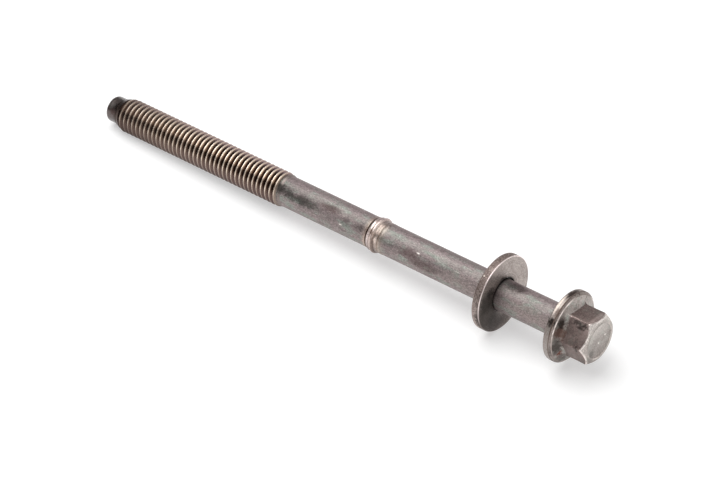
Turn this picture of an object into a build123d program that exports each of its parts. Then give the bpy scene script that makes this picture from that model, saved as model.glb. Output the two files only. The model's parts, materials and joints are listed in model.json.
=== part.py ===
from build123d import *
import os
from math import atan2, cos, degrees, sin, sqrt

# Cylinder head bolt with a hex flange head, lying on a flat surface.
# It rests on the rim of its loose washer and on the first full crest of its thread.
# Millimetres, +Z up, origin on the surface under the middle of the bolt's box,
# and the head points towards +X, a little upwards.

# Lengths along the bolt are measured from the flange's bearing face, positive towards the head.

# Shank and thread, 1/2 inch with 13 turns to the inch
shank_diameter = 11.2
thread_diameter = 12.5
length_under_head = 201.8
thread_length = 80.6
thread_pitch = 1.954
thread_depth = 1.05
end_crest_width = 0.8
run_out_length = 2.2

# Pilot at the tip, and the cone up which the thread starts
pilot_diameter = 9.4
pilot_length = 4.0
pilot_edge_bevel = 1.3
pilot_edge_bow = 0.38
start_cone_length = 4.4

# Flange
flange_diameter = 25.4
flange_rim_thickness = 2.2
flange_back_bevel = 0.35
flange_front_bevel = 0.8
flange_cone_rise = 1.4
under_head_bevel = 0.5

# Hexagon, 5/8 inch across its flats, and its domed crown with a dished middle
hex_across_flats = 15.9
hex_roll = 23.1
head_height = 14.0
crown_rim_radius = 6.8
crown_corner_drop = 2.4
crown_corner_overhang = 0.4
crown_bulge = 0.26
dish_wall_width = 0.7
dish_depth = 0.4
hex_root_fillet = 0.6

# Rolled ridges that keep the washer on the shank
ridge_groove_distance = 80.6
ridge_groove_width = 0.5
ridge_groove_depth = 0.28
low_ridge_height = 0.58
low_ridge_width = 1.5
tall_ridge_height = 0.8
tall_ridge_width = 1.95
tall_ridge_lean = 0.8
tall_ridge_crest = 0.5
tall_ridge_crest_fall = 0.12
ridge_notch_height = 0.48
faint_ridge_height = 0.08
faint_ridge_width = 2.6

# Washer, which reaches a little past the flange that clamps it
washer_margin = 1.05
washer_thickness = 2.95
washer_clearance = 0.4
washer_distance = 25.6
washer_front_bevel = 0.45
washer_back_bevel = 0.3
washer_bore_bevel = 0.6
seat_gap = 0.05

shank_radius = shank_diameter / 2
thread_radius = thread_diameter / 2
pilot_radius = pilot_diameter / 2
flange_radius = flange_diameter / 2
washer_radius = flange_radius + washer_margin
washer_bore_radius = shank_radius + washer_clearance

# The washer stands on its rim, so the shank rests low in its bore
washer_lift = washer_clearance - seat_gap

# The tilt at which the washer's rim and the thread's first full crest touch the surface together
thread_contact_place = -(length_under_head - pilot_length - start_cone_length)
washer_back_place = -(washer_distance + washer_thickness)
washer_contact_place = washer_back_place + washer_back_bevel
contact_rise = (washer_radius - washer_lift) - thread_radius
tilt = atan2(contact_rise, washer_contact_place - thread_contact_place)
bearing_height = thread_radius * cos(tilt) - thread_contact_place * sin(tilt)

# The bearing face's place along X puts the middle of the bolt's box over the origin
crown_reach = head_height * cos(tilt) + crown_rim_radius * sin(tilt)
tip_reach = length_under_head * cos(tilt) + (pilot_radius - pilot_edge_bevel) * sin(tilt)
bearing_x = (tip_reach - crown_reach) / 2

along = Vector(cos(tilt), 0, sin(tilt))
upward = Vector(-sin(tilt), 0, cos(tilt))
bearing_centre = Vector(bearing_x, 0, bearing_height)
washer_centre = bearing_centre + upward * washer_lift

# Half sections are drawn with x along the bolt and y outwards from its axis
bolt_section = Plane(origin=bearing_centre, x_dir=along, z_dir=(0, -1, 0))
bolt_axis = Axis(bearing_centre, along)
washer_section = Plane(origin=washer_centre, x_dir=along, z_dir=(0, -1, 0))
washer_axis = Axis(washer_centre, along)

# Hexagon: a prism trimmed by the domed crown, which leaves an arc on each flat
hex_corner_radius = hex_across_flats / sqrt(3)
flange_front_place = flange_rim_thickness + flange_front_bevel
flange_front_radius = flange_radius - flange_front_bevel
hex_root_place = flange_rim_thickness
crown_outer_radius = hex_corner_radius + crown_corner_overhang
hex_plane = Plane(origin=bearing_centre + along * hex_root_place, x_dir=upward, z_dir=along)

with BuildPart() as hexagon:
    with BuildSketch(hex_plane):
        RegularPolygon(radius=hex_across_flats / 2, side_count=6, major_radius=False, rotation=hex_roll)
    extrude(amount=head_height - hex_root_place)
    with BuildSketch(bolt_section):
        with BuildLine():
            crown_rim = (head_height, crown_rim_radius)
            crown_corner = (head_height - crown_corner_drop, crown_outer_radius)
            dish_foot = (head_height - dish_depth, crown_rim_radius - dish_wall_width)
            Polyline((hex_root_place, 0), (hex_root_place, crown_outer_radius), crown_corner)
            SagittaArc(crown_corner, crown_rim, crown_bulge)
            Polyline(crown_rim, dish_foot, (head_height - dish_depth, 0), (hex_root_place, 0))
        make_face()
    revolve(axis=bolt_axis, mode=Mode.INTERSECT)

with BuildPart() as head_bolt:
    with BuildSketch(bolt_section):
        with BuildLine():
            # Pilot with its edge in two bevels, then the cone up which the thread starts
            tip = -length_under_head
            pilot_end = tip + pilot_length
            thread_start = pilot_end + start_cone_length
            thread_end = tip + thread_length
            Polyline(
                (tip, 0),
                (tip, pilot_radius - pilot_edge_bevel),
                (tip + pilot_edge_bow, pilot_radius - pilot_edge_bow),
                (tip + pilot_edge_bevel, pilot_radius),
                (pilot_end, pilot_radius),
                (thread_start, thread_radius),
                (thread_start + end_crest_width, thread_radius),
            )
            # Each turn is a ring: down one flank into the root and up the other to the next crest
            turns_length = thread_end - thread_start - 2 * end_crest_width
            turn_count = round(turns_length / thread_pitch)
            turn_length = turns_length / turn_count
            for turn in range(turn_count):
                crest = thread_start + end_crest_width + turn * turn_length
                Polyline(
                    (crest, thread_radius),
                    (crest + turn_length / 2, thread_radius - thread_depth),
                    (crest + turn_length, thread_radius),
                )
            # The last crest runs out to the plain shank
            groove_middle = -ridge_groove_distance
            groove_start = groove_middle - ridge_groove_width / 2
            groove_end = groove_middle + ridge_groove_width / 2
            Polyline(
                (thread_end - end_crest_width, thread_radius),
                (thread_end, thread_radius),
                (thread_end + run_out_length, shank_radius),
                (groove_start, shank_radius),
                (groove_middle, shank_radius - ridge_groove_depth),
                (groove_end, shank_radius),
            )
            # Low and tall ridge with a notch between them, the tall one leaning back, then a faint third one
            notch = groove_end + low_ridge_width
            tall_top = notch + tall_ridge_lean
            tall_foot = notch + tall_ridge_width
            faint_end = tall_foot + faint_ridge_width
            Polyline(
                (groove_end, shank_radius),
                (groove_end + low_ridge_width / 2, shank_radius + low_ridge_height),
                (notch, shank_radius + ridge_notch_height),
                (tall_top - tall_ridge_crest / 2, shank_radius + tall_ridge_height),
                (tall_top + tall_ridge_crest / 2, shank_radius + tall_ridge_height - tall_ridge_crest_fall),
                (tall_foot, shank_radius),
                (tall_foot + faint_ridge_width / 2, shank_radius + faint_ridge_height),
                (faint_end, shank_radius),
            )
            # Bevel under the head, bearing face, rim and the low cone that carries the hexagon
            cone_top_radius = hex_across_flats / 2 - hex_root_fillet
            Polyline(
                (faint_end, shank_radius),
                (-under_head_bevel, shank_radius),
                (0, shank_radius + under_head_bevel),
                (0, flange_radius - flange_back_bevel),
                (flange_back_bevel, flange_radius),
                (flange_rim_thickness, flange_radius),
                (flange_front_place, flange_front_radius),
                (flange_front_place + flange_cone_rise, cone_top_radius),
                (flange_front_place + flange_cone_rise, 0),
                (tip, 0),
            )
        make_face()
    revolve(axis=bolt_axis)
    add(hexagon.part)
    # The hexagon's flats meet the low cone in hyperbolas
    fillet(head_bolt.edges().filter_by(GeomType.HYPERBOLA), radius=hex_root_fillet)

with BuildPart() as washer:
    with BuildSketch(washer_section):
        with BuildLine():
            washer_front_place = -washer_distance
            Polyline(
                (washer_back_place, washer_bore_radius),
                (washer_back_place, washer_radius - washer_back_bevel),
                (washer_back_place + washer_back_bevel, washer_radius),
                (washer_front_place - washer_front_bevel, washer_radius),
                (washer_front_place, washer_radius - washer_front_bevel),
                (washer_front_place, washer_bore_radius + washer_bore_bevel),
                (washer_front_place - washer_bore_bevel, washer_bore_radius),
                close=True,
            )
        make_face()
    revolve(axis=washer_axis)

os.makedirs("parts", exist_ok=True)
head_bolt.part.label = "head_bolt"
washer.part.label = "washer"
export_step(head_bolt.part, "parts/head_bolt.step")
export_step(washer.part, "parts/washer.step")

ridge_toe_place = faint_end
travel_to_head = washer_distance - seat_gap
travel_to_ridges = washer_back_place - ridge_toe_place - seat_gap
print("tilt in degrees", round(degrees(tilt), 4))
print("bearing centre", [round(value, 4) for value in bearing_centre])
print("washer travel", round(-travel_to_ridges, 3), round(travel_to_head, 3))
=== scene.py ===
import json
import math
import bpy
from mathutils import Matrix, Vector


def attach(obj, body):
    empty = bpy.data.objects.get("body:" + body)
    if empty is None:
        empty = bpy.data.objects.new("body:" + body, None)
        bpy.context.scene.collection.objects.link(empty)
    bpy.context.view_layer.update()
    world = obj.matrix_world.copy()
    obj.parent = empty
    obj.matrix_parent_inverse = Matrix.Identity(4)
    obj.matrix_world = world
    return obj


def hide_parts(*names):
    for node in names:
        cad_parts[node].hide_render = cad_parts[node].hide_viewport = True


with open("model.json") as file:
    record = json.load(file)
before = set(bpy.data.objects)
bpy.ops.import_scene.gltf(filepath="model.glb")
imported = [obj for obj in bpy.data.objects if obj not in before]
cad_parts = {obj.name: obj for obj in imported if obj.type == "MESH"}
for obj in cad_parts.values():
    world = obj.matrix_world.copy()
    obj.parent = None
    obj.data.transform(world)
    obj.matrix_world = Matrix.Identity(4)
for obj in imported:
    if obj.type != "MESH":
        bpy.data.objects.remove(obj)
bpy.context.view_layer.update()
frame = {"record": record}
mm = 0.001

# Where the bolt lies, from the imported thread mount. Lengths along the bolt are in millimetres
# from the flange's bearing face, negative towards the tip.
threadMount = next(m for m in frame["record"]["mounts"] if m["name"] == "thread")
threadMountPlace = -157.3  # the middle of that mount
along = -Vector(threadMount["axis"]).normalized()
upward = Vector((-along.z, 0, along.x))
tilt = math.atan2(along.z, along.x)
bearingCentre = Vector(threadMount["pos_m"]) - along * threadMountPlace * mm
print("frame loaded, bolt axis found")

# The camera that took the photo, from the bolt's own edges and its thread turns
camera = {
    "place": (0.5595, -0.6735, 0.7318),
    "azimuth": 39.39,
    "elevation": 39.84,
    "lens": 165.5,
    "sensor": 36,
    "nearest": 0.01,
    "farthest": 50,
}
bpy.ops.object.camera_add(location=camera["place"])
eye = bpy.context.object
eye.name = "photoCamera"
eye.rotation_euler = (math.radians(90 - camera["elevation"]), 0, math.radians(camera["azimuth"]))
eye.data.lens, eye.data.sensor_width = camera["lens"], camera["sensor"]
eye.data.clip_start, eye.data.clip_end = camera["nearest"], camera["farthest"]
bpy.context.scene.camera = eye
print("camera placed")


def pick(piece):
    # only this piece is selected and active
    bpy.ops.object.select_all(action="DESELECT")
    piece.select_set(True)
    bpy.context.view_layer.objects.active = piece


def layDown(piece, lift=0.0):
    # from where it was drawn, along X at the origin, to where the bolt lies
    pick(piece)
    piece.location = bearingCentre + upward * lift * mm
    piece.rotation_euler = (0, -tilt, 0)
    bpy.ops.object.transform_apply(location=True, rotation=True, scale=True)


weld = 0.001 * mm  # points nearer than this become one


def turned(name, stations, segments, ring=False):
    # a circle at the first station (place, radius), extruded and resized from station to station;
    # a ring comes back to its first station, as a washer's section does
    bpy.ops.object.select_all(action="DESELECT")
    lastPlace, lastRadius = stations[0]
    bpy.ops.mesh.primitive_circle_add(
        vertices=segments, radius=lastRadius * mm, fill_type="NOTHING" if ring else "NGON",
        location=(lastPlace * mm, 0, 0), rotation=(0, math.pi / 2, 0))
    bpy.ops.object.transform_apply(location=True, rotation=True, scale=True)
    piece = bpy.context.object
    piece.name = name
    bpy.ops.object.mode_set(mode="EDIT")
    bpy.ops.mesh.select_all(action="SELECT")
    for place, radius in stations[1:] + (stations[:1] if ring else []):
        bpy.ops.mesh.extrude_region_move(TRANSFORM_OT_translate={"value": ((place - lastPlace) * mm, 0, 0)})
        grow = radius / lastRadius
        bpy.ops.transform.resize(value=(1, grow, grow), center_override=(place * mm, 0, 0))
        lastPlace, lastRadius = place, radius
    bpy.ops.mesh.select_all(action="SELECT")
    bpy.ops.mesh.remove_doubles(threshold=weld)
    bpy.ops.mesh.normals_make_consistent(inside=False)
    bpy.ops.object.mode_set(mode="OBJECT")
    return piece


def carve(piece, tool, operation):
    # a boolean with a tool piece, which is thrown away
    pick(piece)
    cut = piece.modifiers.new("cut", "BOOLEAN")
    cut.operation, cut.solver, cut.object = operation, "EXACT", tool
    bpy.ops.object.modifier_apply(modifier=cut.name)
    bpy.data.objects.remove(tool, do_unlink=True)


def softEdges(piece, angle, width=0.0, segments=0, clamp=True):
    # rounds what meets at more than that angle, if it gets a width, then shades it smooth
    pick(piece)
    if width:
        # a surface and an edge slot, and the rounded strips take the second
        piece.data.materials.append(None)
        piece.data.materials.append(None)
        edge = piece.modifiers.new("edge", "BEVEL")
        edge.width, edge.segments = width * mm, segments
        edge.limit_method, edge.angle_limit = "ANGLE", math.radians(angle)
        edge.use_clamp_overlap = clamp
        edge.material = 1
        bpy.ops.object.modifier_apply(modifier=edge.name)
    bpy.ops.object.shade_smooth_by_angle(angle=math.radians(angle))


def arcStations(place, radius, size, start, end, steps):
    # stations of a fillet round a centre, angles in degrees from the bolt's axis
    turn = [math.radians(start + (end - start) * k / steps) for k in range(steps + 1)]
    return [(place + size * math.cos(t), radius + size * math.sin(t)) for t in turn]


# Rolled thread, 1/2 inch with 13 turns to the inch, right-handed
thread = {
    "pitch": 1.954,
    "crestRadius": 6.25,
    "rootRadius": 5.06,
    "rootPlace": -193.02,
    "turnSteps": 80,
    "turnsBefore": 6,
    "turnsAfter": 3,
    "spareBefore": 1.5,
    "spareAfter": 1.0,
    "weld": 0.002,
    "tip": -201.79,
    "pilotRadius": 4.76,
    "pilotEdge": 1.3,
    "pilotEnd": -197.8,
    "coneEnd": -193.4,
    "lastCrest": -121.3,
    "crestMargin": 0.02,
    "runOut": [(0.9, 5.98), (2.2, 5.6)],
    "shankPlace": -118.0,
    "shankRadius": 5.6,
    "trimSegments": 96,
}
# One turn's section as (share of the pitch, share of the height), root to root, corners rolled round
threadSection = [
    (0.0, 0.0), (0.055, 0.006), (0.1, 0.05), (0.4, 0.9), (0.432, 0.975), (0.465, 1.0),
    (0.535, 1.0), (0.568, 0.975), (0.6, 0.9), (0.9, 0.05), (0.945, 0.006), (1.0, 0.0),
]


def rolledThread():
    height = thread["crestRadius"] - thread["rootRadius"]
    firstPlace = thread["rootPlace"] - thread["turnsBefore"] * thread["pitch"]
    points = [((firstPlace + s * thread["pitch"]) * mm, 0, (thread["rootRadius"] + h * height) * mm)
              for s, h in threadSection]
    # the section's line is one corner of a plane, extruded from point to point
    bpy.ops.object.select_all(action="DESELECT")
    bpy.ops.mesh.primitive_plane_add(size=mm)
    piece = bpy.context.object
    piece.name = "boltThread"
    bpy.ops.object.mode_set(mode="EDIT")
    bpy.ops.mesh.select_all(action="SELECT")
    bpy.ops.mesh.merge(type="CENTER")
    bpy.ops.transform.translate(value=points[0])
    for last, point in zip(points, points[1:]):
        move = [b - a for a, b in zip(last, point)]
        bpy.ops.mesh.extrude_region_move(TRANSFORM_OT_translate={"value": move})
    bpy.ops.object.mode_set(mode="OBJECT")
    turns = int((thread["shankPlace"] - firstPlace) / thread["pitch"]) + thread["turnsAfter"]
    pick(piece)
    helix = piece.modifiers.new("helix", "SCREW")
    helix.axis, helix.angle = "X", 2 * math.pi
    helix.screw_offset, helix.iterations = thread["pitch"] * mm, turns
    helix.steps = helix.render_steps = thread["turnSteps"]
    bpy.ops.object.modifier_apply(modifier=helix.name)
    # cut square at both ends and capped
    bpy.ops.object.mode_set(mode="EDIT")
    bpy.ops.mesh.select_all(action="SELECT")
    bpy.ops.mesh.remove_doubles(threshold=thread["weld"] * mm)
    start, end = thread["tip"] - thread["spareBefore"], thread["shankPlace"] + thread["spareAfter"]
    for place, side in ((start, -1), (end, 1)):
        bpy.ops.mesh.select_all(action="SELECT")
        bpy.ops.mesh.bisect(plane_co=(place * mm, 0, 0), plane_no=(side, 0, 0),
                            use_fill=True, clear_outer=True)
    bpy.ops.mesh.select_all(action="SELECT")
    bpy.ops.mesh.normals_make_consistent(inside=False)
    bpy.ops.object.mode_set(mode="OBJECT")
    # trimmed to the pilot, the start cone and the run-out, which is (distance past the last crest, radius)
    edge = thread["pilotEdge"]
    trim = arcStations(thread["tip"] + edge, thread["pilotRadius"] - edge, edge, start=180, end=90, steps=8)
    above = thread["crestRadius"] + thread["crestMargin"]
    trim += [(thread["pilotEnd"], thread["pilotRadius"]), (thread["coneEnd"], above)]
    trim.append((thread["lastCrest"], above))
    trim += [(thread["lastCrest"] + past, radius) for past, radius in thread["runOut"]]
    trim.append((thread["shankPlace"], thread["shankRadius"]))
    carve(piece, turned("trim", trim, thread["trimSegments"]), "INTERSECT")
    softEdges(piece, angle=32)
    layDown(piece)
    return piece


boltThread = rolledThread()
print("thread rolled")

# Plain shank with the rolled ridges that keep the washer on it, from the thread's run-out to the flange
shank = {
    "radius": 5.6,
    "runOut": [(-122.5, 4.6), (-120.4, 5.55), (-118.15, 5.57)],
    "belowRidges": [-118.0, -100.0],
    "aboveRidges": [-50.0, -25.0],
    "fillet": 0.3,
    "rootInFlange": 1.0,
    "segments": 96,
}
# The ridges as (place, radius): a lip, a fine groove, a low ridge, a tall one that leans back, a faint band
ridgeStations = [
    (-84.0, 5.6), (-81.6, 5.63), (-81.1, 5.71), (-80.86, 5.7), (-80.76, 5.52), (-80.66, 5.36),
    (-80.54, 5.36), (-80.42, 5.6), (-80.25, 5.8), (-80.0, 5.98), (-79.75, 6.09), (-79.45, 6.12),
    (-79.2, 6.06), (-79.0, 5.97), (-78.88, 5.95), (-78.76, 6.03), (-78.6, 6.22), (-78.44, 6.34),
    (-78.26, 6.4), (-78.05, 6.38), (-77.9, 6.3), (-77.74, 6.16), (-77.56, 5.96), (-77.38, 5.78),
    (-77.18, 5.67), (-76.9, 5.63), (-76.5, 5.65), (-76.1, 5.68), (-75.85, 5.67), (-75.65, 5.6),
    (-75.5, 5.6), (-75.35, 5.66), (-74.8, 5.67), (-74.35, 5.66), (-74.2, 5.6), (-74.08, 5.6),
    (-73.9, 5.605), (-72.5, 5.6),
]


def plainShank():
    # it reaches into the thread, where its run-out fills the last valleys
    stations = shank["runOut"] + [(place, shank["radius"]) for place in shank["belowRidges"]]
    stations += ridgeStations + [(place, shank["radius"]) for place in shank["aboveRidges"]]
    fillet, filletEnd = shank["fillet"], shank["radius"] + shank["fillet"]
    stations += arcStations(-fillet, filletEnd, fillet, start=270, end=360, steps=6)
    stations.append((shank["rootInFlange"], filletEnd))
    piece = turned("boltShank", stations, shank["segments"])
    softEdges(piece, angle=50)
    layDown(piece)
    return piece


boltShank = plainShank()
print("shank turned")

# Flange and hexagon, forged in one: a low cone carries the hexagon, whose crown is domed and dished
head = {
    "flangeRadius": 12.7,
    "backEdge": 0.35,
    "rim": 2.2,
    "frontBevel": 0.8,
    "coneRise": 1.4,
    "coneTop": 7.35,
    "acrossFlats": 15.9,
    "roll": -6.9,
    "cornerRound": 0.32,
    "rootFillet": 1.2,
    "rootSegments": 6,
    "rootNear": 0.04,
    "cornerNear": 0.1,
    "facetReach": 31,
    "edgeWidth": 0.22,
    "height": 13.95,
    "crownRim": 7.0,
    "crownSteps": 10,
    "cornerDrop": 2.4,
    "overhang": 0.4,
    "bulge": 0.26,
    "spare": 1.0,
    "segments": 160,
}
# The dish inside the crown's rim as (drop from the top, radius)
dishStations = [
    (0.06, 6.88), (0.01, 6.76), (0.0, 6.66), (0.04, 6.54), (0.16, 6.4), (0.28, 6.24),
    (0.36, 6.05), (0.4, 5.8), (0.42, 4.5), (0.45, 2.5), (0.46, 0.5),
]
# How much of the root fillet each facet gets, by the facet's turn from the top towards the camera's side
rootShares = [(-7, 0.3), (53, 1.0), (113, 0.9), (173, 0.6), (-127, 0.5), (-67, 0.5)]


def selectWhere(piece, wanted):
    # selects the edges whose two ends both pass, in edge mode
    pick(piece)
    bpy.ops.object.mode_set(mode="EDIT")
    bpy.ops.mesh.select_mode(type="EDGE")
    bpy.ops.mesh.select_all(action="DESELECT")
    bpy.ops.object.mode_set(mode="OBJECT")
    points = piece.data.vertices
    for edge in piece.data.edges:
        a, b = (points[v].co / mm for v in edge.vertices)
        edge.select = wanted(a, b)
    bpy.ops.object.mode_set(mode="EDIT")


def domedCrown(corner):
    # stations of what trims the hexagon: its corners' drop, the bow up to the rim, then the dish
    outer = corner + head["overhang"]
    start, end = (head["height"] - head["cornerDrop"], outer), (head["height"], head["crownRim"])
    bulge = Vector((end[1] - start[1], start[0] - end[0])).normalized() * -head["bulge"]
    stations = [(head["rim"] - head["spare"], outer)]
    for step in range(head["crownSteps"]):
        share = step / head["crownSteps"]
        bow = 4 * share * (1 - share)
        stations.append((start[0] + (end[0] - start[0]) * share + bulge.x * bow,
                         start[1] + (end[1] - start[1]) * share + bulge.y * bow))
    return stations + [(head["height"] - drop, radius) for drop, radius in dishStations]


def hexHead():
    corner = head["acrossFlats"] / math.sqrt(3)
    conePlace = head["rim"] + head["frontBevel"]
    coneRadius = head["flangeRadius"] - head["frontBevel"]
    # the hexagon, its six long edges rounded
    piece = turned("boltHead", [(head["rim"], corner), (head["height"] + head["spare"], corner)], 6)
    selectWhere(piece, lambda a, b: abs(a.x - b.x) > head["height"] / 2)
    bpy.ops.mesh.bevel(offset=head["cornerRound"] * mm, segments=3, affect="EDGES")
    bpy.ops.mesh.select_all(action="SELECT")
    bpy.ops.transform.rotate(value=-math.radians(head["roll"]), orient_axis="X", center_override=(0, 0, 0))
    bpy.ops.object.mode_set(mode="OBJECT")
    # the domed crown trims it, which leaves an arc on each flat
    carve(piece, turned("crown", domedCrown(corner), head["segments"]), "INTERSECT")
    edge = head["backEdge"]
    flange = arcStations(edge, head["flangeRadius"] - edge, edge, start=180, end=90, steps=6)
    flange += [(head["rim"], head["flangeRadius"]), (conePlace, coneRadius),
               (conePlace + head["coneRise"], head["coneTop"])]
    carve(piece, turned("flange", flange, head["segments"]), "UNION")

    # the flats run into the cone in a fillet
    def onRoot(point):
        radius = math.hypot(point.y, point.z)
        cone = coneRadius - (point.x - conePlace) / head["coneRise"] * (coneRadius - head["coneTop"])
        return radius < corner + head["cornerNear"] and abs(radius - cone) < head["rootNear"]

    # wider on the facets that the die filled last
    for facet, share in rootShares:
        middle = math.radians(facet)

        def onFacet(point):
            turn = math.atan2(-point.y, point.z) - middle
            return onRoot(point) and math.cos(turn) > math.cos(math.radians(head["facetReach"]))

        selectWhere(piece, lambda a, b: onFacet(a) and onFacet(b))
        bpy.ops.transform.edge_bevelweight(value=share)
        bpy.ops.object.mode_set(mode="OBJECT")
    root = piece.modifiers.new("root", "BEVEL")
    root.width, root.segments = head["rootFillet"] * mm, head["rootSegments"]
    root.limit_method, root.use_clamp_overlap = "WEIGHT", False
    pick(piece)
    bpy.ops.object.modifier_apply(modifier=root.name)
    softEdges(piece, angle=20, width=head["edgeWidth"], segments=3, clamp=False)
    layDown(piece)
    return piece


boltHead = hexHead()
print("head forged")

# Loose washer, stamped, its edges a little rounded; it lies on the shank, so its middle is lifted
washer = {
    "radius": 13.72,
    "bore": 5.94,
    "back": -28.55,
    "front": -25.6,
    "edgeRound": 0.3,
    "lift": 0.32,
    "segments": 160,
}


def stampedWasher():
    stations = [
        (washer["back"], washer["bore"]),
        (washer["back"], washer["radius"]),
        (washer["front"], washer["radius"]),
        (washer["front"], washer["bore"]),
    ]
    piece = turned("looseWasher", stations, washer["segments"], ring=True)
    softEdges(piece, angle=30, width=washer["edgeRound"], segments=4)
    layDown(piece, washer["lift"])
    return piece


looseWasher = stampedWasher()
print("washer stamped")


def linear(code):
    # sRGB hex to the linear colour that the shaders want
    parts = [int(code[k:k + 2], 16) / 255 for k in (0, 2, 4)]
    return [c / 12.92 if c <= 0.04045 else ((c + 0.055) / 1.055) ** 2.4 for c in parts] + [1.0]


def addNode(tree, kind, inputs=None, **settings):
    # a node with its settings; an input is a value or the socket that feeds it
    node = tree.nodes.new(kind)
    for key, value in settings.items():
        setattr(node, key, value)
    for key, value in (inputs or {}).items():
        if isinstance(value, bpy.types.NodeSocket):
            tree.links.new(value, node.inputs[key])
        else:
            node.inputs[key].default_value = value
    return node


def fillRamp(ramp, stops):
    # stops are (position, colour)
    while len(ramp.elements) > 1:
        ramp.elements.remove(ramp.elements[-1])
    ramp.elements[0].position, ramp.elements[0].color = stops[0]
    for position, colour in stops[1:]:
        ramp.elements.new(position).color = colour


# What all the steels share: where noise mostly lies, how much the roughness varies, how ragged a stain or a
# painted patch of light or shade is
steelTexture = {
    "noiseLow": 0.3,
    "noiseHigh": 0.7,
    "roughSpread": 0.06,
    "raggedScale": 0.9,
    "raggedDetail": 4.0,
    "raggedRoughness": 0.65,
    "wander": 4.0,
    "smallMark": 1.0,
    "blobEdge": 0.05,
    "blobCore": 0.6,
    "stainAndPaintedLightRoughness": 0.25,
}


def boltCoordinates(tree, lift):
    # millimetres along the bolt, behind it and above its axis, and the distance from that axis
    coords = addNode(tree, "ShaderNodeTexCoord").outputs["Object"]
    bolt = addNode(tree, "ShaderNodeMapping", {
        "Vector": coords, "Location": bearingCentre + upward * lift * mm,
        "Rotation": (0, -tilt, 0), "Scale": (mm, mm, mm)}, vector_type="TEXTURE").outputs[0]
    parts = addNode(tree, "ShaderNodeSeparateXYZ", {0: bolt}).outputs
    across = addNode(tree, "ShaderNodeCombineXYZ", {"Y": parts["Y"], "Z": parts["Z"]}).outputs[0]
    radius = addNode(tree, "ShaderNodeVectorMath", {0: across}, operation="LENGTH").outputs["Value"]
    return {"bolt": bolt, "place": parts["X"], "behind": parts["Y"], "height": parts["Z"], "radius": radius}


def cloud(tree, where, size, stretch=1, detail=3, roughness=0.6):
    # noise whose blobs are that many millimetres, longer along the bolt by stretch
    scaled = addNode(tree, "ShaderNodeMapping", {
        "Vector": where["bolt"], "Scale": (1 / (size * stretch), 1 / size, 1 / size)}).outputs[0]
    return addNode(tree, "ShaderNodeTexNoise", {
        "Vector": scaled, "Scale": 1.0, "Detail": detail, "Roughness": roughness}).outputs["Fac"]


# A layer is (its colour, the mask it lies on, how it blends with what is below)
def mottleLayers(tree, where, mottles):
    layers = []
    for mottle in mottles:
        noise = cloud(tree, where, mottle["size"], mottle.get("stretch", 1))
        mask = addNode(tree, "ShaderNodeMapRange", {
            "Value": noise, "From Min": mottle["low"], "From Max": mottle["high"],
            "To Max": mottle["amount"]}).outputs[0]
        layers.append((linear(mottle["colour"]), mask, "MIX"))
    return layers


def bandLayers(tree, where, bands):
    # a band goes by radius, by place along the bolt, by height above its axis or by distance behind it;
    # its stops are (at that measure, colour, how strongly it covers); it may fade in from one height
    # to another, and it may polish the steel or dull it
    layers, gloss = [], None
    for band in bands:
        stops = band["stops"]
        low, high = stops[0][0], stops[-1][0]
        share = addNode(tree, "ShaderNodeMapRange", {
            "Value": where[band["by"]], "From Min": low, "From Max": high}).outputs[0]
        ramp = addNode(tree, "ShaderNodeValToRGB", {0: share})
        fillRamp(ramp.color_ramp, [((at - low) / (high - low), linear(code)[:3] + [cover])
                                   for at, code, cover in stops])
        mask = ramp.outputs["Alpha"]
        if "fade" in band:
            start, end = band["fade"]
            fade = addNode(tree, "ShaderNodeMapRange", {
                "Value": where["height"], "From Min": start, "From Max": end}).outputs[0]
            mask = addNode(tree, "ShaderNodeMath", {0: mask, 1: fade}, operation="MULTIPLY").outputs[0]
        layers.append((ramp.outputs["Color"], mask, "MIX"))
        if "polish" in band:
            gloss = addNode(tree, "ShaderNodeMath", {
                0: mask, 1: band["polish"]}, operation="MULTIPLY").outputs[0]
    return layers, gloss


def hexagonLayers(tree, where, flats, arcs):
    # the flats are the faces that turn away from the bolt's axis, inside a radius
    normal = addNode(tree, "ShaderNodeTexCoord").outputs["Normal"]
    facing = addNode(tree, "ShaderNodeVectorMath", {0: normal, 1: along}, operation="DOT_PRODUCT")
    sideways = addNode(tree, "ShaderNodeMapRange", {
        "Value": facing.outputs["Value"], "From Min": flats["facing"][0], "From Max": flats["facing"][1],
        "To Min": 1.0, "To Max": 0.0}).outputs[0]
    inside = addNode(tree, "ShaderNodeMapRange", {
        "Value": where["radius"], "From Min": flats["radius"][0], "From Max": flats["radius"][1],
        "To Min": 1.0, "To Max": 0.0}).outputs[0]
    flatMask = addNode(tree, "ShaderNodeMath", {0: sideways, 1: inside}, operation="MULTIPLY").outputs[0]
    # the crown's side of its arcs, where the distance to a flat runs out
    reach = 0.0
    for turn in arcs["turns"]:
        angle = math.radians(turn)
        apart = addNode(tree, "ShaderNodeVectorMath", {
            0: where["bolt"], 1: (0, -math.sin(angle), math.cos(angle))}, operation="DOT_PRODUCT")
        apart = addNode(tree, "ShaderNodeMath", {0: apart.outputs["Value"]}, operation="ABSOLUTE").outputs[0]
        reach = addNode(tree, "ShaderNodeMath", {0: apart, 1: reach}, operation="MAXIMUM").outputs[0]
    arcMask = addNode(tree, "ShaderNodeMapRange", {
        "Value": reach, "From Min": arcs["inner"], "From Max": arcs["outer"],
        "To Max": arcs["amount"]}).outputs[0]
    high = addNode(tree, "ShaderNodeMath", {
        0: where["place"], 1: arcs["above"]}, operation="GREATER_THAN").outputs[0]
    forward = addNode(tree, "ShaderNodeMath", {0: 1.0, 1: sideways}, operation="SUBTRACT").outputs[0]
    for share in (high, forward):
        arcMask = addNode(tree, "ShaderNodeMath", {0: arcMask, 1: share}, operation="MULTIPLY").outputs[0]
    return [(linear(flats["shade"]), flatMask, "MULTIPLY"), (linear(arcs["colour"]), arcMask, "MIX")]


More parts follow.
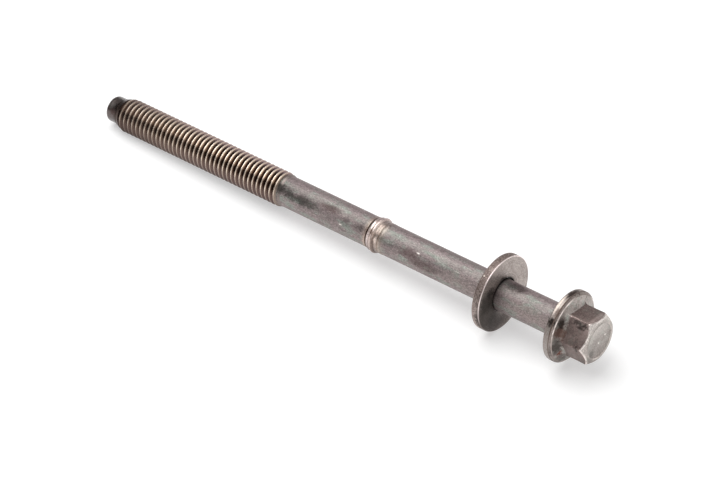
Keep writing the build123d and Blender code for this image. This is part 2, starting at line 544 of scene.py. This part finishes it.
def speckleLayers(tree, where, speckle):
    # the stamped rim's coarse speckle; shades are (colour, the noise where it starts, where it is full)
    outside = addNode(tree, "ShaderNodeMath", {
        0: where["radius"], 1: speckle["radius"]}, operation="GREATER_THAN").outputs[0]
    noise = cloud(tree, where, speckle["size"], detail=2)
    layers = []
    for code, low, high in speckle["shades"]:
        mask = addNode(tree, "ShaderNodeMapRange", {
            "Value": noise, "From Min": low, "From Max": high, "To Max": speckle["amount"]}).outputs[0]
        mask = addNode(tree, "ShaderNodeMath", {0: mask, 1: outside}, operation="MULTIPLY").outputs[0]
        layers.append((linear(code), mask, "MIX"))
    return layers


def turnedMarks(tree, where, size):
    # noise in rings round the axis, that many millimetres wide
    spread = addNode(tree, "ShaderNodeMath", {
        0: where["radius"], 1: 1 / size}, operation="MULTIPLY").outputs[0]
    return addNode(tree, "ShaderNodeTexNoise", {
        "W": spread, "Scale": 1.0, "Detail": 2.0}, noise_dimensions="1D").outputs["Fac"]


def shadeLayer(tree, noise, amount):
    # lightens and darkens all that is below by that share
    shade = addNode(tree, "ShaderNodeMapRange", {
        "Value": noise, "From Min": steelTexture["noiseLow"], "From Max": steelTexture["noiseHigh"],
        "To Min": 1 - amount, "To Max": 1 + amount}).outputs[0]
    return shade, 1.0, "MULTIPLY"


def stainAndPaintedLightLayers(tree, where, stainsAndPaintedLight):
    # stains and patches of painted light and shade are (place, turn, radius, length, width, colour, amount),
    # soft blobs with ragged edges; a mark of a millimetre or less keeps its outline
    ragged = addNode(tree, "ShaderNodeTexNoise", {
        "Vector": where["bolt"], "Scale": steelTexture["raggedScale"], "Detail": steelTexture["raggedDetail"],
        "Roughness": steelTexture["raggedRoughness"]}).outputs["Color"]
    centred = addNode(tree, "ShaderNodeVectorMath", {
        0: ragged, 1: (0.5, 0.5, 0.5)}, operation="SUBTRACT").outputs[0]
    wander = addNode(tree, "ShaderNodeVectorMath", {
        0: centred, "Scale": steelTexture["wander"]}, operation="SCALE").outputs[0]
    moved = addNode(tree, "ShaderNodeVectorMath", {0: where["bolt"], 1: wander}, operation="ADD").outputs[0]
    layers, stainAndPaintedLightCover = [], 0.0
    for place, turn, distance, length, width, code, amount in stainsAndPaintedLight:
        angle = math.radians(turn)
        small = min(length, width) <= steelTexture["smallMark"]
        spot = addNode(tree, "ShaderNodeMapping", {
            "Vector": where["bolt"] if small else moved,
            "Location": (place, -distance * math.sin(angle), distance * math.cos(angle)),
            "Scale": (length, width, width)}, vector_type="TEXTURE").outputs[0]
        blob = addNode(tree, "ShaderNodeTexGradient", {"Vector": spot}, gradient_type="SPHERICAL")
        mask = addNode(tree, "ShaderNodeMapRange", {
            "Value": blob.outputs["Fac"], "From Min": steelTexture["blobEdge"],
            "From Max": steelTexture["blobCore"], "To Max": amount}).outputs[0]
        layers.append((linear(code), mask, "MIX"))
        stainAndPaintedLightCover = addNode(tree, "ShaderNodeMath", {0: stainAndPaintedLightCover, 1: mask}, operation="MAXIMUM").outputs[0]
    return layers, stainAndPaintedLightCover


def wornSteel(look, lift=0.0):
    # one steel surface: layers over a base colour, and a fine grain in colour, roughness and height
    material = bpy.data.materials.new(look["name"])
    material.use_nodes = True
    tree = material.node_tree
    surface = tree.nodes["Principled BSDF"]
    where = boltCoordinates(tree, lift)
    grain = look["grain"]
    fine = cloud(tree, where, grain["size"], grain["stretch"], detail=4, roughness=0.7)
    rough = addNode(tree, "ShaderNodeMapRange", {
        "Value": fine, "From Min": steelTexture["noiseLow"], "From Max": steelTexture["noiseHigh"],
        "To Min": look["roughness"] - steelTexture["roughSpread"],
        "To Max": look["roughness"] + steelTexture["roughSpread"]}).outputs[0]
    layers = mottleLayers(tree, where, look["mottles"])
    bands, gloss = bandLayers(tree, where, look["bands"])
    layers += bands
    if gloss:
        rough = addNode(tree, "ShaderNodeMath", {0: rough, 1: gloss}, operation="SUBTRACT").outputs[0]
    if "flats" in look:
        layers += hexagonLayers(tree, where, look["flats"], look["arcs"])
    if "speckle" in look:
        layers += speckleLayers(tree, where, look["speckle"])
    if "rings" in look:
        marks = turnedMarks(tree, where, look["rings"]["size"])
        layers.append(shadeLayer(tree, marks, look["rings"]["shade"]))
    if "stainsAndPaintedLight" in look:
        stainsAndPaintedLight, stainAndPaintedLightCover = stainAndPaintedLightLayers(tree, where, look["stainsAndPaintedLight"])
        layers += stainsAndPaintedLight
        rough = addNode(tree, "ShaderNodeMath", {
            0: stainAndPaintedLightCover, 1: steelTexture["stainAndPaintedLightRoughness"], 2: rough}, operation="MULTIPLY_ADD").outputs[0]
    layers.append(shadeLayer(tree, fine, grain["shade"]))
    colour = linear(look["colour"])
    for shade, mask, blend in layers:
        colour = addNode(tree, "ShaderNodeMix", {
            0: mask, 6: colour, 7: shade}, data_type="RGBA", blend_type=blend).outputs[2]
    bump = addNode(tree, "ShaderNodeBump", {
        "Height": fine, "Distance": grain["depth"] * mm, "Strength": 1.0}).outputs[0]
    tree.links.new(colour, surface.inputs["Base Color"])
    tree.links.new(rough, surface.inputs["Roughness"])
    tree.links.new(bump, surface.inputs["Normal"])
    surface.inputs["Metallic"].default_value = look["metallic"]
    return material


# Heat-treated alloy steel, drawn bar: a matt warm grey skin with lengthwise marks, patches of green-grey
# oil film and old dark oil, burnished to a cream where the ridges were rolled; painted shade and highlights
# in and on the ridges, along the top and where the washer sits
shankSteel = wornSteel({
    "name": "drawnAlloySteel",
    "colour": "9c908f",
    "mottles": [
        {"size": 5, "stretch": 3, "low": 0.42, "high": 0.62, "colour": "938584", "amount": 0.6},
        {"size": 2.2, "stretch": 3, "low": 0.5, "high": 0.62, "colour": "9ba39a", "amount": 0.7},
        {"size": 1.2, "stretch": 2.2, "low": 0.5, "high": 0.68, "colour": "7c7170", "amount": 0.5},
        {"size": 0.6, "stretch": 1.8, "low": 0.56, "high": 0.7, "colour": "c9c0b9", "amount": 0.5},
        {"size": 0.5, "stretch": 1.4, "low": 0.56, "high": 0.7, "colour": "5a4f4d", "amount": 0.5},
    ],
    "bands": [
        # the ridges burnished cream; the dark lines in the fine groove and the notches between the ridges are
        # painted shade
        {"by": "place", "polish": 0.17, "stops": [
            (-82.6, "b09e94", 0.0), (-81.6, "b09e94", 0.7), (-80.85, "b09c90", 0.9), (-80.7, "3c2d25", 1.0),
            (-80.5, "3c2d25", 1.0), (-80.3, "b8a69f", 1.0), (-79.8, "e8d7d2", 1.0), (-79.3, "e8d7d2", 1.0),
            (-79.05, "cbb8af", 1.0), (-78.82, "ae9b92", 1.0), (-78.5, "e4d0c8", 1.0), (-78.1, "fbe8e0", 1.0),
            (-77.6, "f3ddd2", 1.0), (-77.2, "a8978d", 1.0), (-76.7, "b8a79d", 1.0), (-76.0, "b8a79e", 1.0),
            (-75.65, "8f7e72", 0.95), (-75.5, "8a796c", 0.95), (-75.3, "aa998e", 0.9), (-74.5, "a59990", 0.8),
            (-74.1, "8d8075", 0.7), (-73.8, "9a8f87", 0.5), (-72.2, "9a908a", 0.0)]},
        # painted shade on the tall ridge's head-side flank, stronger towards the bottom
        {"by": "place", "fade": (4.4, 2.6), "stops": [
            (-78.2, "5a473c", 0.0), (-77.9, "5a473c", 0.7), (-77.3, "4c3a30", 0.85), (-76.9, "5a473c", 0.2),
            (-76.5, "5a473c", 0.0)]},
        # the ridges greyer towards the bottom
        {"by": "place", "fade": (2.6, -1.6), "stops": [
            (-80.9, "706664", 0.0), (-80.3, "706664", 0.75), (-79.0, "706664", 0.75), (-78.3, "7a6f6b", 0.5),
            (-76.4, "7a6f6b", 0.5), (-75.2, "7a6f6b", 0.0)]},
        # the top darker and green-grey, painted shade that tones down the highlight along the top
        {"by": "height", "stops": [
            (4.2, "787c75", 0.0), (4.9, "787c75", 0.35), (5.35, "858a82", 0.25), (5.6, "948a8c", 0.15)]},
        {"by": "behind", "stops": [
            (-0.6, "9b8789", 0.0), (1.6, "9b8789", 0.5), (5.7, "9b8789", 0.5)]},
        # a dark ring where the washer sits: an oil ring, and painted shade in the gap between the bore and
        # the shank
        {"by": "place", "stops": [
            (-29.4, "4a403c", 0.0), (-27.8, "3a312e", 0.5), (-26.2, "241d1a", 0.85), (-25.7, "2a2320", 0.75),
            (-25.4, "4a403c", 0.3), (-24.6, "4a403c", 0.0)]},
    ],
    "stainsAndPaintedLight": [
        (-78.7, 50, 6.2, 2.4, 1.2, "6e5849", 0.75),
        # a painted highlight on the foot of the tall ridge, on its near, lower side
        (-76.5, 67, 5.7, 0.95, 1.5, "fbeae0", 0.8),
        # painted shade that tones down the low ridge's top
        (-79.9, -3, 6.1, 1.3, 1.2, "7f7068", 0.65),
        (-119.6, 45, 5.6, 3.0, 2.6, "33332f", 0.8),
        (-115.5, 50, 5.6, 4.0, 2.2, "3c3c38", 0.7),
        (-109.5, 54, 5.6, 6.0, 2.4, "3d3d38", 0.7),
        (-104.6, 52, 5.6, 3.5, 2.0, "50504a", 0.5),
        (-98.0, 34, 5.6, 6.0, 2.0, "5c4644", 0.5),
        (-89.6, 46, 5.6, 2.0, 1.5, "4f4a46", 0.4),
        (-83.6, 51, 5.6, 2.2, 1.7, "4a4440", 0.55),
        (-62.0, 56, 5.6, 6.0, 2.2, "6a5352", 0.45),
        (-55.0, 76, 5.6, 9.0, 2.4, "64524f", 0.45),
        (-45.0, 66, 5.6, 8.0, 2.2, "665957", 0.2),
        (-38.0, 72, 5.6, 14.0, 3.4, "b3a6a2", 0.4),
        (-11.0, 70, 5.6, 15.0, 3.6, "b8aba7", 0.5),
        (-20.0, -4, 5.6, 6.0, 3.0, "443b39", 0.7),
        (-58.7, 43, 5.6, 0.9, 0.34, "fffaf4", 1.0),
        (-91.7, 71, 5.6, 0.8, 0.34, "fffaf4", 1.0),
    ],
    "grain": {"size": 0.36, "stretch": 1.8, "shade": 0.5, "depth": 0.02},
    "roughness": 0.6,
    "metallic": 1.0,
})

# The same steel where the thread was rolled: crests and flanks burnished bare, old oil in the roots,
# painted shade deepening the roots along the top, and darker towards the bottom
threadSteel = wornSteel({
    "name": "rolledThreadSteel",
    "colour": "e2d3c4",
    "mottles": [
        {"size": 3, "stretch": 2, "low": 0.46, "high": 0.7, "colour": "b7a595", "amount": 0.6},
    ],
    "bands": [
        {"by": "radius", "stops": [
            (5.0, "1c120c", 1.0), (5.25, "261810", 1.0), (5.45, "3e2d23", 1.0), (5.7, "957f6e", 0.9),
            (5.95, "d6bfa8", 0.8), (6.1, "f3dcc6", 0.85), (6.25, "fbe9d8", 0.9)]},
        # this band and the next: darker towards the bottom
        {"by": "radius", "fade": (5.4, 3.8), "stops": [
            (5.0, "38271e", 1.0), (5.6, "402f26", 1.0), (5.95, "5a473c", 1.0), (6.1, "8f7a6b", 0.8),
            (6.2, "d8c8b8", 0.2)]},
        {"by": "height", "stops": [
            (-6.3, "574849", 0.9), (-4.0, "5f504f", 0.85), (-1.5, "6a5955", 0.8), (0.8, "74625c", 0.6),
            (2.4, "8a7a6e", 0.0)]},
        # painted shade that deepens the roots along the top
        {"by": "radius", "fade": (4.0, 4.9), "stops": [
            (5.0, "140b07", 0.75), (5.6, "1e130d", 0.7), (5.85, "43312a", 0.5), (6.0, "6a5648", 0.0)]},
        {"by": "behind", "stops": [
            (0.0, "7f686c", 0.0), (2.4, "7f686c", 0.6), (6.3, "7f686c", 0.65)]},
        # darker towards the bottom near the tip
        {"by": "place", "fade": (2.5, -2.0), "stops": [
            (-197.6, "3d2e2b", 0.55), (-188.0, "3d2e2b", 0.45), (-172.0, "3d2e2b", 0.0)]},
        {"by": "place", "stops": [
            (-202.0, "6e6664", 1.0), (-197.9, "5f5654", 1.0), (-197.3, "3c322e", 0.9),
            (-194.5, "4c3f3a", 0.6), (-188.0, "5e5049", 0.45), (-170.0, "6e6054", 0.2),
            (-150.0, "8a7c72", 0.0), (-122.0, "8a7c72", 0.0), (-120.6, "a39588", 0.6),
            (-118.9, "8f8480", 1.0), (-118.0, "8a807c", 1.0)]},
        {"by": "place", "polish": -0.3, "stops": [
            (-121.0, "8f8480", 0.0), (-120.2, "8f8480", 0.8), (-118.0, "8a807c", 1.0)]},
    ],
    "stainsAndPaintedLight": [
        (-199.8, 40, 4.7, 2.2, 2.0, "908a86", 0.5),
        (-198.5, 60, 4.7, 1.8, 1.6, "4e3a38", 0.7),
        (-200.6, 56, 4.7, 1.6, 1.4, "43312f", 0.7),
        (-199.0, 10, 4.7, 1.6, 1.4, "443c3a", 0.6),
        (-119.0, 45, 5.6, 2.2, 2.6, "33332f", 0.8),
    ],
    "grain": {"size": 0.24, "stretch": 3, "shade": 0.25, "depth": 0.012},
    "roughness": 0.26,
    "metallic": 1.0,
})

# Forged head, heat treated: grey scale rubbed light on its crown, dark flats, oil, rust and painted shade by
# the root, a painted highlight on the crown's edge above and on the flange's back edge, painted shade on the
# crown's edge below
headSteel = wornSteel({
    "name": "forgedHeadSteel",
    "colour": "aea5a0",
    "mottles": [
        {"size": 3.2, "low": 0.44, "high": 0.6, "colour": "8f8681", "amount": 0.75},
        {"size": 1.8, "low": 0.5, "high": 0.66, "colour": "a3a8a0", "amount": 0.7},
        {"size": 1.0, "low": 0.54, "high": 0.7, "colour": "726764", "amount": 0.65},
        {"size": 0.5, "low": 0.58, "high": 0.68, "colour": "e6dfd8", "amount": 0.65},
    ],
    "bands": [
        {"by": "radius", "stops": [
            (0.0, "9f9994", 0.45), (5.6, "9f9994", 0.45), (6.2, "8a8480", 0.4), (6.5, "d3ccc6", 0.5),
            (6.8, "d3ccc6", 0.5), (7.2, "b8b1ab", 0.2), (9.0, "b8b1ab", 0.0), (11.98, "857872", 0.0),
            (12.12, "857872", 0.75), (12.6, "857872", 0.7), (12.7, "8c807a", 0.6)]},
        {"by": "radius", "fade": (6.0, 0.0), "stops": [
            (12.1, "a39b97", 0.0), (12.4, "a39b97", 0.7), (12.75, "a39b97", 0.7)]},
        # the crown's edge: a painted highlight on its upper side, painted shade on its lower side
        {"by": "place", "fade": (1.0, 6.5), "stops": [
            (10.8, "e3dcd6", 0.0), (11.6, "e3dcd6", 0.6), (13.5, "e3dcd6", 0.6), (14.0, "e3dcd6", 0.0)]},
        {"by": "place", "fade": (-1.5, -6.0), "stops": [
            (10.8, "8a807b", 0.0), (11.6, "8a807b", 0.6), (13.5, "8a807b", 0.6), (14.0, "8a807b", 0.0)]},
    ],
    "flats": {"shade": "cbbdbc", "radius": (9.5, 9.8), "facing": (0.12, 0.45)},
    "arcs": {
        "turns": (-7, 53, 113), "inner": 7.45, "outer": 7.8, "above": 9.5,
        "colour": "f6eee8", "amount": 0.9},
    "stainsAndPaintedLight": [
        # by the hexagon's root on the near and lower side: painted shade, with oil and rust
        (3.7, 47, 9.9, 1.7, 2.8, "2c201b", 0.88),
        (3.7, 66, 10.2, 1.7, 3.2, "5c3d33", 0.8),
        (4.6, 66, 8.6, 1.6, 3.4, "6b5248", 0.7),
        (3.5, 98, 10.0, 2.0, 5.0, "4f4844", 0.85),
        (3.4, 122, 9.6, 1.2, 1.5, "7a4030", 0.85),
        (3.4, 140, 10.4, 2.0, 4.0, "5a534f", 0.6),
        (1.5, -9, 12.7, 1.3, 5.0, "3a2f2c", 0.9),
        (1.6, 50, 12.6, 2.0, 2.0, "1f1613", 0.9),
        (2.0, 34, 12.6, 1.3, 2.6, "6a5a52", 0.7),
        # a painted highlight along the flange's back edge
        (0.7, 20, 12.7, 0.55, 5.6, "efe2d8", 0.9),
        (8.4, 31, 8.6, 3.8, 1.2, "2c2827", 0.7),
        (11.2, 31, 8.9, 1.8, 1.4, "2f2a28", 0.75),
        (9.6, 38, 8.2, 1.9, 0.7, "262220", 0.7),
        (7.0, 54, 8.0, 2.0, 1.6, "3a3230", 0.45),
        (9.4, 75, 8.4, 1.8, 1.4, "3a3331", 0.35),
        (10.6, 86, 8.6, 1.4, 1.2, "1f1a18", 0.75),
        (13.5, 176, 1.1, 0.9, 0.5, "f4efea", 0.9),
        (13.5, -84, 3.4, 0.9, 0.5, "f4efea", 0.8),
        (13.6, 60, 5.0, 2.0, 2.0, "c9c6bf", 0.5),
        (13.4, 128, 5.4, 2.0, 2.4, "7d7975", 0.7),
    ],
    "grain": {"size": 0.42, "stretch": 1, "shade": 0.36, "depth": 0.02},
    "roughness": 0.46,
    "metallic": 1.0,
})

# The head's rounded edges, rubbed bare by sockets: bright, patchy steel
headEdgeSteel = wornSteel({
    "name": "rubbedEdgeSteel",
    "colour": "efe3dd",
    "mottles": [
        {"size": 1.6, "low": 0.5, "high": 0.62, "colour": "a3978f", "amount": 0.7},
        {"size": 0.6, "low": 0.58, "high": 0.68, "colour": "fbf5ef", "amount": 0.8},
    ],
    "bands": [
        {"by": "radius", "polish": -0.2, "stops": [
            (12.25, "6f6058", 0.0), (12.4, "6f6058", 1.0), (12.8, "6f6058", 1.0)]},
    ],
    "stainsAndPaintedLight": [
        (3.0, -28, 11.9, 3.0, 9.0, "857a74", 0.9),
        (3.0, 88, 11.9, 3.0, 5.0, "a3968f", 0.7),
        (3.0, 125, 11.9, 3.0, 8.0, "8f8580", 0.85),
        (4.4, 83, 9.0, 2.2, 2.6, "6b625e", 0.95),
    ],
    "grain": {"size": 0.4, "stretch": 1, "shade": 0.25, "depth": 0.01},
    "roughness": 0.42,
    "metallic": 1.0,
})

# Stamped and hardened washer steel: speckled brown rim, turned marks on the grey face, a bore painted black
# as shade with a dark halo, painted shade over the face's lower half and a lighter painted patch near its top
washerSteel = wornSteel({
    "name": "stampedWasherSteel",
    "colour": "aca29d",
    "mottles": [
        {"size": 3, "low": 0.45, "high": 0.62, "colour": "978c88", "amount": 0.7},
        {"size": 1.2, "low": 0.52, "high": 0.7, "colour": "7f736d", "amount": 0.5},
        {"size": 0.5, "low": 0.58, "high": 0.7, "colour": "d8cdc4", "amount": 0.6},
    ],
    "speckle": {
        "size": 0.5, "radius": 13.45, "amount": 0.6,
        "shades": [("534743", 0.48, 0.4), ("a29591", 0.54, 0.64)]},
    "bands": [
        {"by": "radius", "polish": -0.2, "stops": [
            (13.4, "7a6c67", 0.0), (13.5, "7a6c67", 0.9), (13.75, "7a6c67", 0.9)]},
        {"by": "radius", "fade": (8.0, 2.0), "stops": [
            (13.4, "a79a95", 0.0), (13.5, "a79a95", 0.85), (13.75, "a79a95", 0.85)]},
        # the bore painted black as shade, with a dark painted halo round it
        {"by": "radius", "stops": [
            (5.8, "0f0b09", 1.0), (6.06, "15100e", 1.0), (6.16, "4a423f", 0.8), (6.6, "6f6663", 0.4),
            (7.6, "8d8480", 0.0)]},
        {"by": "radius", "fade": (-2.0, -9.0), "stops": [
            (13.4, "bbaea8", 0.0), (13.5, "bbaea8", 0.85), (13.75, "bbaea8", 0.85)]},
    ],
    "rings": {"size": 0.5, "shade": 0.12},
    "stainsAndPaintedLight": [
        # painted shade over the face's lower half, and a lighter painted patch near its top
        (-25.6, 110, 10.0, 2.5, 9.5, "4b4642", 0.85),
        (-25.6, 75, 9.5, 2.5, 6.0, "413c38", 0.8),
        (-25.6, 182, 10.5, 2.5, 5.0, "5f5754", 0.7),
        (-25.6, 20, 12.6, 2.5, 2.4, "c9bdb6", 0.5),
        (-25.6, 55, 8.5, 2.5, 3.0, "37322f", 0.7),
        (-25.6, 150, 10.5, 2.5, 6.5, "454140", 0.75),
        (-27.75, 33, 13.75, 0.4, 0.42, "f4ebe4", 1.0),
        # black painted shade in the gap at the bore's top
        (-27.0, 0, 6.0, 2.5, 2.5, "0a0706", 1.0),
    ],
    "grain": {"size": 0.36, "stretch": 1, "shade": 0.5, "depth": 0.02},
    "roughness": 0.45,
    "metallic": 1.0,
}, washer["lift"])

# The washer's rounded edges, bright from handling; the bore's edge painted black as shade, and the front edge
# darker towards the bottom as painted shade
washerEdgeSteel = wornSteel({
    "name": "brightWasherEdgeSteel",
    "colour": "f1e3e0",
    "mottles": [
        {"size": 2, "low": 0.5, "high": 0.7, "colour": "b5a6a1", "amount": 0.6},
    ],
    "bands": [
        # the bore's edge painted black as shade
        {"by": "radius", "stops": [
            (5.8, "15100e", 1.0), (6.1, "15100e", 1.0), (6.2, "8d8480", 1.0), (7.2, "8d8480", 1.0),
            (9.0, "8d8480", 0.0)]},
        # painted shade on the front edge towards the bottom
        {"by": "radius", "fade": (5.0, -5.0), "stops": [
            (12.5, "6a605c", 0.0), (13.0, "6a605c", 0.95), (13.8, "6a605c", 0.95)]},
        {"by": "place", "stops": [(-28.6, "7f7069", 1.0), (-27.6, "7f7069", 1.0), (-26.8, "7f7069", 0.0)]},
    ],
    "grain": {"size": 0.4, "stretch": 1, "shade": 0.15, "depth": 0.008},
    "roughness": 0.32,
    "metallic": 1.0,
}, washer["lift"])

for piece, steels, body, node, slot in (
        (boltThread, [threadSteel], "bolt", "head_bolt", "bolt_steel"),
        (boltShank, [shankSteel], "bolt", "head_bolt", "bolt_steel"),
        (boltHead, [headSteel, headEdgeSteel], "bolt", "head_bolt", "bolt_steel"),
        (looseWasher, [washerSteel, washerEdgeSteel], "washer", "washer", "washer_steel")):
    while len(piece.data.materials) < len(steels):
        piece.data.materials.append(None)
    for place, steel in enumerate(steels):
        piece.data.materials[place] = steel
    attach(piece, body)
    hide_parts(node)
print("steels mixed, pieces ride on their bodies")

# Plain white table and soft light from above and a little behind
studio = {
    "floorSize": 8.0,
    "floorColour": "d0d0d0",
    "floorRoughness": 0.9,
    "floorLift": 0.42,
    "litReach": (0.5, 1.5),
    "roomDim": 0.15,
    "roomRight": 0.6,
    "rightWall": (0.2, 0.7),
    "roomBehind": 0.25,
    "backWall": (0.0, 0.6),
    "horizonGlow": 0.8,
    "horizon": (0.04, 0.18),
    "softboxPlace": (-0.25, -0.12, 1.0),
    "softboxSize": (1.2, 0.9),
    "softboxPower": 12.0,
}


def whiteTable():
    bpy.ops.object.select_all(action="DESELECT")
    bpy.ops.mesh.primitive_plane_add(size=studio["floorSize"])
    floor = bpy.context.object
    floor.name = "whiteTable"
    paper = bpy.data.materials.new("whitePaperSweep")
    paper.use_nodes = True
    tree = paper.node_tree
    surface = tree.nodes["Principled BSDF"]
    surface.inputs["Base Color"].default_value = linear(studio["floorColour"])
    surface.inputs["Roughness"].default_value = studio["floorRoughness"]
    surface.inputs["Specular IOR Level"].default_value = 0.0  # matt paper
    # the paper's own white for the eye and in reflections, which keeps the shadow
    path = addNode(tree, "ShaderNodeLightPath").outputs
    seen = addNode(tree, "ShaderNodeMath", {
        0: path["Is Camera Ray"], 1: path["Is Glossy Ray"]}, operation="ADD").outputs[0]
    seen = addNode(tree, "ShaderNodeMath", {
        0: seen, 1: path["Is Transmission Ray"]}, operation="ADD", use_clamp=True).outputs[0]
    # far from the lamp the paper keeps its white
    here = addNode(tree, "ShaderNodeTexCoord").outputs["Object"]
    away = addNode(tree, "ShaderNodeVectorMath", {0: here}, operation="LENGTH").outputs["Value"]
    lift = addNode(tree, "ShaderNodeMapRange", {
        "Value": away, "From Min": studio["litReach"][0], "From Max": studio["litReach"][1],
        "To Min": studio["floorLift"], "To Max": 1.0}).outputs[0]
    strength = addNode(tree, "ShaderNodeMath", {0: seen, 1: lift}, operation="MULTIPLY").outputs[0]
    surface.inputs["Emission Color"].default_value = (1, 1, 1, 1)
    tree.links.new(strength, surface.inputs["Emission Strength"])
    floor.data.materials.append(paper)


def whiteRoom():
    # white all round for the eye; for the steel it is white low down, dark on the near side,
    # and lighter behind and to the right
    world = bpy.data.worlds.new("studioWorld")
    bpy.context.scene.world = world
    world.use_nodes = True
    tree = world.node_tree
    sky = tree.nodes["Background"]
    direction = addNode(tree, "ShaderNodeTexCoord").outputs["Generated"]
    toward = addNode(tree, "ShaderNodeSeparateXYZ", {0: direction}).outputs
    right = addNode(tree, "ShaderNodeMapRange", {
        "Value": toward["X"], "From Min": studio["rightWall"][0], "From Max": studio["rightWall"][1],
        "To Min": studio["roomDim"], "To Max": studio["roomDim"] + studio["roomRight"]}).outputs[0]
    back = addNode(tree, "ShaderNodeMapRange", {
        "Value": toward["Y"], "From Min": studio["backWall"][0], "From Max": studio["backWall"][1],
        "To Max": studio["roomBehind"]}).outputs[0]
    low = addNode(tree, "ShaderNodeMapRange", {
        "Value": toward["Z"], "From Min": studio["horizon"][0], "From Max": studio["horizon"][1],
        "To Min": studio["horizonGlow"], "To Max": 0.0}).outputs[0]
    walls = addNode(tree, "ShaderNodeMath", {0: right, 1: back}, operation="ADD").outputs[0]
    room = addNode(tree, "ShaderNodeMath", {0: walls, 1: low}, operation="ADD").outputs[0]
    seen = addNode(tree, "ShaderNodeLightPath").outputs["Is Camera Ray"]
    level = addNode(tree, "ShaderNodeMix", {0: seen, 2: room, 3: 1.0}, data_type="FLOAT").outputs[0]
    tree.links.new(level, sky.inputs["Strength"])
    sky.inputs["Color"].default_value = (1, 1, 1, 1)


def softLight():
    bpy.ops.object.light_add(type="AREA", location=studio["softboxPlace"])
    softbox = bpy.context.object
    softbox.name = "softbox"
    softbox.data.shape = "RECTANGLE"
    softbox.data.size, softbox.data.size_y = studio["softboxSize"]
    softbox.data.energy = studio["softboxPower"]
    softbox.rotation_euler = (-Vector(studio["softboxPlace"])).to_track_quat("-Z", "Y").to_euler()


whiteTable()
whiteRoom()
softLight()
bpy.context.scene.view_settings.view_transform = "Standard"
print("studio set")
